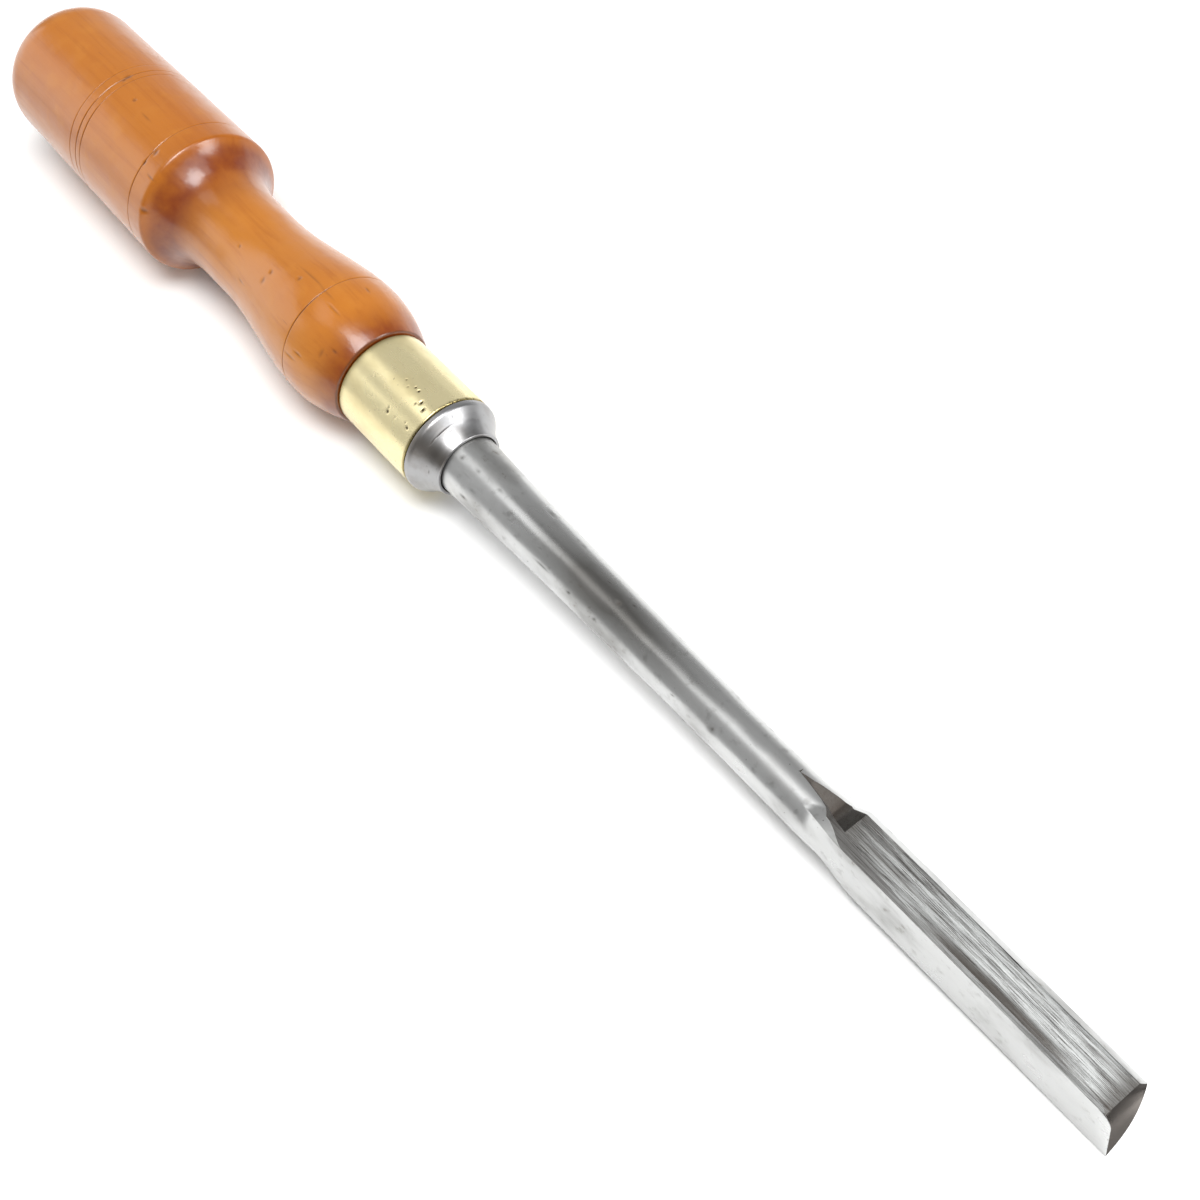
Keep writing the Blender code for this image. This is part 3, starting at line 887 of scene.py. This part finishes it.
class BladeShape:
    """The blade's sections, worked out from its sizes."""

    def __init__(self, settings):
        self.offset = settings.leg_offset / MM
        self.thickness = settings.leg_thickness / MM
        self.width = settings.leg_width / MM
        self.shank = settings.shank_radius / MM
        self.waist = settings.waist_radius / MM
        wing = self.width - self.offset
        near = -self.offset
        self.corners = np.array([(near, near), (wing, near), (near, wing)])
        whole_turn = 2 * math.pi
        lying = math.atan2(near, wing)
        corner = -0.75 * math.pi
        standing = 0.5 * math.pi - lying - whole_turn
        self.spans = [
            np.linspace(lying, RUN_OUT_ANGLE, 500),
            np.linspace(lying, corner, 240),
            np.linspace(corner, standing, 240),
            np.linspace(standing, RUN_OUT_ANGLE - whole_turn, 300),
        ]
        facing = np.linspace(0, whole_turn, 1441)[:-1]
        self.normals = np.stack([np.cos(facing), np.sin(facing)])
        self.stretch = []
        for span in self.spans:
            cosine = np.cos(span[:, None] - facing[None, :])
            self.stretch.append(np.where(cosine > 0.05, 1 / np.maximum(cosine, 0.05), np.inf))

    def radius(self, x):
        """The radius of the round shank, which tapers from the bolster to its waist."""
        bolster_end = bpy.context.scene.chisel_bolster.bolster_length / MM
        taper = max(WAIST_X - x, 0.0) / (WAIST_X - bolster_end)
        return self.waist + (self.shank - self.waist) * taper**2

    def outline(self, x):
        """The four runs of the outer outline, before the groove is cut: the tightest skin round the
        shank and the bar's three corners, which grow out of it."""
        flares = (CORNER_FLARE, LYING_FLARE, STANDING_FLARE)
        grown = [float(smoothstep((x - start) / (end - start))) for start, end in flares]
        size = self.radius(x) + (self.offset - self.radius(x)) * grown[0]
        far = np.hypot(*self.corners.T)
        reach = size + (far - size) * np.array(grown)
        corners = self.corners * (reach / far)[:, None]
        skin_out = np.maximum((corners @ self.normals).max(axis=0), size)
        runs = []
        for span, stretch in zip(self.spans, self.stretch):
            radius = (skin_out[None, :] * stretch).min(axis=1)
            runs.append(np.stack([radius * np.cos(span), radius * np.sin(span)], -1))
        return runs

    def ring(self, x, thickness, arris):
        """One ring of points round the blade at x, with the groove cut in."""
        right, under, outside, left = self.outline(x)
        bottom = thickness - self.offset
        floor = float(np.interp(x, FLOOR_X, FLOOR_Z)) if x < FLOOR_X[-1] else bottom
        wall = float(np.interp(x, WALL_X, WALL_Y))
        if x > WALL_X[-1]:
            left_over = max(WALL_END_X - x, 0.0) / (WALL_END_X - WALL_X[-1])
            wall = bottom * (1 - left_over**1.6)
        facet = float(np.interp(x, FACET_X, FACET_OUT))
        flat = float(np.interp(x, FLAT_X, FLAT_OUT))
        tip = right[-1]
        if x < FLOOR_X[0] or math.hypot(wall, floor) > self.radius(x) and x < FLAT_X[0]:
            point = np.repeat(tip[None], 2, axis=0)
            return rounded_loop([point, point, right[::-1], under, outside, left, point, point], 0.0)
        total = right.sum(axis=1)
        right_edge = until(right, np.maximum(total - flat, right[:, 1] - floor))
        lying_ridge = right_edge[-1]
        inner_y = flat - floor
        if lying_ridge[1] >= floor - 1e-6:
            inner_y = min(inner_y, lying_ridge[0])
        lying_inner = np.array([inner_y, floor])
        left_edge = until(left, np.maximum(left.sum(axis=1) - facet, left[:, 0] - wall))
        standing_ridge = left_edge[-1]
        if standing_ridge[0] >= wall - 1e-6:
            standing_inner = standing_ridge
        else:
            standing_inner = np.array([wall, facet - wall])
        valley = np.array([wall, floor])
        runs = [
            np.array([valley, lying_inner]),
            np.array([lying_inner, lying_ridge]),
            right_edge[::-1],
            under,
            outside,
            left_edge,
            np.array([standing_ridge, standing_inner]),
            np.array([standing_inner, valley]),
        ]
        return rounded_loop(runs, arris)

    def sweep(self, ring):
        """Where the cutting edge lies along the tool for each point of a ring: both legs sweep back
        from the corner of the V, and the standing leg's top corner is rounded off."""
        across = np.maximum(ring[:, 0] + self.offset, 0.0)
        up = np.maximum(ring[:, 1] + self.offset, 0.0)
        back = LYING_SLOPE * across + LYING_CURVE * (across / (self.width - 0.7)) ** LYING_POWER
        back += STANDING_SLOPE * up
        over = np.clip(up - (self.width - TOP_ROUNDING), 0.0, TOP_ROUNDING)
        return TIP_X - back - (TOP_ROUNDING - np.sqrt(TOP_ROUNDING**2 - over**2))


def square_ring(ring, side):
    """A ring with as many points as the given one, laid round a square bar."""
    angle = np.arctan2(ring[:, 1], ring[:, 0])
    reach = side / 2 / np.maximum(np.abs(np.cos(angle)), np.abs(np.sin(angle)))
    return np.stack([reach * np.cos(angle), reach * np.sin(angle)], -1)


# Pits and scratches that show on the shank: place along the tool, angle, length, width and depth.
SHANK_PITS = (
    (10.2, 109.3, 0.4, 0.5, 0.1),
    (14.2, 126.6, 1.4, 0.12, 0.05),
    (19.0, 127.0, 1.8, 0.12, 0.05),
    (17.8, 138.2, 0.9, 0.2, 0.06),
    (23.5, 102.0, 0.4, 0.4, 0.06),
    (15.7, 105.7, 0.4, 0.4, 0.06),
    (15.9, 163.8, 1.0, 0.4, 0.08),
    (35.5, 58.4, 1.1, 0.35, 0.12),
    (63.8, 92.9, 0.5, 0.6, 0.08),
    (61.8, 153.9, 0.4, 0.4, 0.1),
    (99.1, 139.6, 0.8, 0.7, 0.12),
    (66.6, 72.8, 0.5, 0.3, 0.06),
    (52.7, 150.6, 0.5, 0.3, 0.06),
    (43.4, 149.5, 2.0, 0.2, 0.06),
)


def blade_rings(shape, back):
    """The rings of the blade from the tang's end to where the bevel starts, each with its place."""
    start = shape.ring(back, shape.thickness, 0.0)
    shrunk = start * (shape.shank - 0.3) / shape.shank
    rings = [(x, square_ring(start, side)) for x, side in ((TANG_X, 3.6), (-40.0, 5.6), (back, 8.0))]
    rings.append((back, shrunk))
    stations = np.concatenate(
        [
            np.arange(back + 0.3, 116.0, 0.8),
            np.arange(116.0, 138.0, 0.2),
            np.arange(138.0, BEVEL_X - 0.3, 0.8),
            [BEVEL_X - 0.02],
        ]
    )
    return rings + [(x, shape.ring(x, shape.thickness, ARRIS)) for x in stations]


def bevel_rings(shape):
    """The rings of the bevel, each with the place of every point: the legs thin out as the rings lean
    over to lie along the cutting edge."""
    for share in np.linspace(0.0, 1.0, BEVEL_RINGS):
        bulged = share + 0.12 * math.sin(math.pi * share)
        thickness = shape.thickness + (EDGE - shape.thickness) * bulged
        ring = shape.ring(BEVEL_X, thickness, ARRIS * (1 - share) + 0.02)
        yield BEVEL_X + share * (shape.sweep(ring) - BEVEL_X), ring


def worn_shank(x, angle, radius, seed, chance):
    """How far the shank's surface stands out from a true round, and how strongly each point is marked."""
    uneven = np.zeros_like(x)
    for _ in range(8):
        around, along = chance.integers(0, 5), chance.uniform(0.05, 0.5)
        uneven += np.sin(around * angle + along * x + chance.uniform(0, 6.28))
    dent = np.zeros_like(x)
    marked = np.zeros_like(x)
    small = scattered(seed, 70, 8.0, 116.0, (0.08, 0.18), (0.01, 0.04), 2.2)
    for place_x, degrees, size_x, size_round, deep in SHANK_PITS + tuple(small):
        turned = (angle - math.radians(degrees) + math.pi) % (2 * math.pi) - math.pi
        spot = np.exp(-(((x - place_x) / size_x) ** 2 + (turned * radius / size_round) ** 2))
        dent += deep * spot
        marked = np.maximum(marked, spot)
    return 0.012 * uneven - dent, marked


def furrowed(x, yz, chance):
    """Long shallow furrows along the inner faces of the V, from -1 to 1 each and added up."""
    furrows = np.zeros_like(x)
    for _ in range(FURROWS):
        pitch, drift = chance.uniform(1.2, 5.0), chance.uniform(-0.02, 0.02)
        furrows += np.sin(pitch * (yz[..., 0] + yz[..., 1]) + drift * x + chance.uniform(0, 6.28))
    return furrows


def groove_shade(x, yz, run_of):
    """How much painted shade each point of the groove gets: along its wall, at the start of its floor, in
    its run-out, down the valley between the legs and just before the bevel."""
    on_floor = run_of < 1
    from_valley = yz[..., 0] - yz[:, :1, 0]
    down_valley = smoothstep((x - 148.0) / 18.0) * smoothstep((200.0 - x) / 14.0)
    shade = 0.85 * (run_of >= 5.5) * np.exp(-np.maximum(x - 133.0, 0.0) / 24.0)
    shade += 0.75 * on_floor * np.exp(-np.maximum(x - FLOOR_X[-1], 0.0) / 12.0)
    shade += 0.2 * on_floor * smoothstep((WALL_X[-1] - x) / 2.0)
    shade += 0.85 * on_floor * smoothstep((6.8 - from_valley) / 1.6) * down_valley
    shade += 0.75 * on_floor * smoothstep((x - BEVEL_X + 6.0) / 6.0)
    return np.clip(shade * (x > RUN_OUT_X), 0, 1)


class CHISEL_OT_blade(bpy.types.Operator):
    """Forge the blade: tang, round shank, and the V with its run-out and bevel"""

    bl_idname = "chisel.blade"
    bl_label = "Blade"

    def execute(self, context):
        settings = context.scene.chisel_blade
        shape = BladeShape(settings)
        back = context.scene.chisel_bolster.bolster_length / MM - SEAT_DEPTH + GAP
        rings = blade_rings(shape, back)
        bevel = list(bevel_rings(shape))
        yz = np.array([ring for _, ring in rings + bevel])
        count = yz.shape[1]
        x = np.array([np.broadcast_to(place_x, count) for place_x, _ in rings + bevel])
        on_bevel = (np.arange(len(x)) >= len(rings))[:, None]
        runs = [[n] * points + [n + 0.5] * ARRIS_POINTS for n, points in enumerate(RUN_POINTS)]
        run_of = np.concatenate(runs)

        angle = np.arctan2(yz[..., 1], yz[..., 0])
        radius = np.hypot(yz[..., 0], yz[..., 1])
        shank_end = LYING_FLARE[0]
        on_shank = (x > back) * smoothstep((shank_end - x) / 4.0)
        chance = np.random.default_rng(settings.seed)
        stands_out, marked = worn_shank(x, angle, radius, settings.seed, chance)
        radius = radius + on_shank * stands_out
        yz = np.stack([radius * np.cos(angle), radius * np.sin(angle)], -1)

        inside = (x > FLOOR_X[-1]) & ~on_bevel
        edge_fade = np.clip(np.minimum(x - FLOOR_X[-1], BEVEL_X - x) / 2.0, 0.0, 1.0)
        furrows = furrowed(x, yz, chance) * inside * edge_fade
        yz[..., 1] += (run_of == FLOOR_RUN) * furrows * FLOOR_FURROW
        yz[..., 0] += (run_of == WALL_RUN) * furrows * WALL_FURROW

        bevelled = on_bevel * np.isin(run_of, BEVELLED_RUNS)
        filed = np.isin(run_of, FILED_RUNS) * (x > RUN_OUT_X)
        # Painted shade where the shank goes into the bolster and in the notch at the end of the run-out.
        seat = bell(x, back, 1.2)
        notch = bell(x, 128.9, 1.1) * np.isin(run_of, VALLEY_RUNS)
        marks = {
            "filed": filed * (1 - bevelled),
            "bevel": bevelled,
            "shaded": groove_shade(x, yz, run_of),
            "aged": 1.5 * bell(x, 62.0, 24.0) * bell(angle, math.radians(100.0), 0.7),
            "grime_and_shade": np.clip(marked * on_shank * 0.8 + 0.9 * seat + 0.35 * notch, 0, 1),
        }
        rows = np.concatenate([x[..., None], yz], axis=-1)
        mesh = skin("blade_forged", rows, False, marks)
        finish_mesh(mesh, caps=end_rings(len(x), count))
        mesh.set_sharp_from_angle(angle=math.radians(28))
        place("blade_forged", mesh, "blade", old_ground_steel(settings))
        return {"FINISHED"}


# ---------------------------------------------------------------- stage

# Each light: its name, azimuth from +X towards +Y, elevation, how far it spreads round and up as seen
# from the tool (all in degrees), and its brightness.
LIGHTS = (
    ("main", 5.0, 66.0, 46.0, 40.0, 2.3),
    ("overhead", -25.0, 77.0, 26.0, 24.0, 12.0),
    ("upper_front", 42.0, 34.0, 16.0, 18.0, 12.0),
    ("low_front", 31.0, 16.0, 14.0, 12.0, 7.0),
    ("left", -157.0, 15.0, 40.0, 40.0, 1.6),
    ("high_left", -158.0, 60.0, 24.0, 16.0, 1.7),
    ("back", 128.0, 10.0, 84.0, 26.0, 0.4),
    ("high_back", 140.0, 42.0, 60.0, 34.0, 0.22),
    ("left_fill", -118.0, 28.0, 40.0, 50.0, 0.25),
)
LIGHT_DISTANCE = 1.5
WORLD_BRIGHTNESS = 0.23
SHEET_REACH = 12.0
CAMERA_AIM = (36.92, 3.84, 0.0)


def direction(azimuth, elevation):
    """A unit vector from an azimuth, counted from -Y towards +X, and an elevation."""
    flat = math.cos(elevation)
    return Vector((flat * math.sin(azimuth), -flat * math.cos(azimuth), math.sin(elevation)))


def soft_light(name, azimuth, elevation, spread_round, spread_up, brightness):
    """A soft box that faces the tool, as bright from the tool whatever its size."""
    width = 2 * LIGHT_DISTANCE * math.tan(math.radians(spread_round) / 2)
    height = 2 * LIGHT_DISTANCE * math.tan(math.radians(spread_up) / 2)
    data = bpy.data.lights.new(name, "AREA")
    data.shape = "RECTANGLE"
    data.size, data.size_y = width, height
    data.energy = brightness * width * height * math.pi
    light = bpy.data.objects.new(name, data)
    bpy.context.scene.collection.objects.link(light)
    toward = direction(math.radians(azimuth + 90.0), math.radians(elevation))
    light.location = toward * LIGHT_DISTANCE
    light.rotation_euler = toward.to_track_quat("Z", "Y").to_euler()
    light.visible_camera = False


class CHISEL_OT_stage(bpy.types.Operator):
    """Set the pale floor, the soft lights and the camera"""

    bl_idname = "chisel.stage"
    bl_label = "Stage"

    def execute(self, context):
        scene = context.scene
        settings = scene.chisel_stage
        mesh = bpy.data.meshes.new("floor")
        signs = ((-1, -1), (1, -1), (1, 1), (-1, 1))
        corners = [(SHEET_REACH * across, SHEET_REACH * along, 0.0) for across, along in signs]
        mesh.from_pydata(corners, [], [(0, 1, 2, 3)])
        mesh.materials.append(pale_floor(settings))
        floor = bpy.data.objects.new("floor", mesh)
        scene.collection.objects.link(floor)

        for light in LIGHTS:
            soft_light(*light)
        world = bpy.data.worlds.new("studio")
        world.use_nodes = True
        background = world.node_tree.nodes["Background"]
        background.inputs["Color"].default_value = (1.0, 1.0, 1.0, 1.0)
        background.inputs["Strength"].default_value = WORLD_BRIGHTNESS
        scene.world = world
        scene.view_settings.view_transform = "Standard"

        aim = Vector(CAMERA_AIM) * MM
        away = direction(settings.azimuth, settings.elevation)
        level = Vector((math.cos(settings.azimuth), math.sin(settings.azimuth), 0.0))
        upward = away.cross(level)
        right = math.cos(settings.roll) * level - math.sin(settings.roll) * upward
        up = math.sin(settings.roll) * level + math.cos(settings.roll) * upward
        data = bpy.data.cameras.new("camera")
        data.lens = settings.lens
        data.clip_start = 0.01
        camera = bpy.data.objects.new("camera", data)
        turn = Matrix((right, up, away)).transposed().to_4x4()
        camera.matrix_world = Matrix.Translation(aim + away * settings.distance) @ turn
        scene.collection.objects.link(camera)
        scene.camera = camera
        return {"FINISHED"}


# ---------------------------------------------------------------- panel and running


class CHISEL_PT_panel(bpy.types.Panel):
    """Lists the pieces of the chisel and their sizes"""

    bl_idname = "CHISEL_PT_panel"
    bl_label = "Corner Chisel"
    bl_space_type = "VIEW_3D"
    bl_region_type = "UI"
    bl_category = "Chisel"

    def draw(self, context):
        for name, (group, operator) in PIECES.items():
            box = self.layout.box()
            box.operator(operator.bl_idname)
            settings = getattr(context.scene, name)
            for key in group.__annotations__:
                box.prop(settings, key)


PIECES = {
    "chisel_handle": (HandleSettings, CHISEL_OT_handle),
    "chisel_ferrule": (FerruleSettings, CHISEL_OT_ferrule),
    "chisel_bolster": (BolsterSettings, CHISEL_OT_bolster),
    "chisel_blade": (BladeSettings, CHISEL_OT_blade),
    "chisel_stage": (StageSettings, CHISEL_OT_stage),
}


def register():
    for name, (group, operator) in PIECES.items():
        bpy.utils.register_class(group)
        bpy.utils.register_class(operator)
        setattr(bpy.types.Scene, name, PointerProperty(type=group))
    bpy.utils.register_class(CHISEL_PT_panel)


def unregister():
    bpy.utils.unregister_class(CHISEL_PT_panel)
    for name, (group, operator) in PIECES.items():
        delattr(bpy.types.Scene, name)
        bpy.utils.unregister_class(operator)
        bpy.utils.unregister_class(group)


def main():
    register()
    bpy.ops.chisel.handle()
    bpy.ops.chisel.ferrule()
    bpy.ops.chisel.bolster()
    bpy.ops.chisel.blade()
    bpy.ops.chisel.stage()


if __name__ == "__main__":
    main()
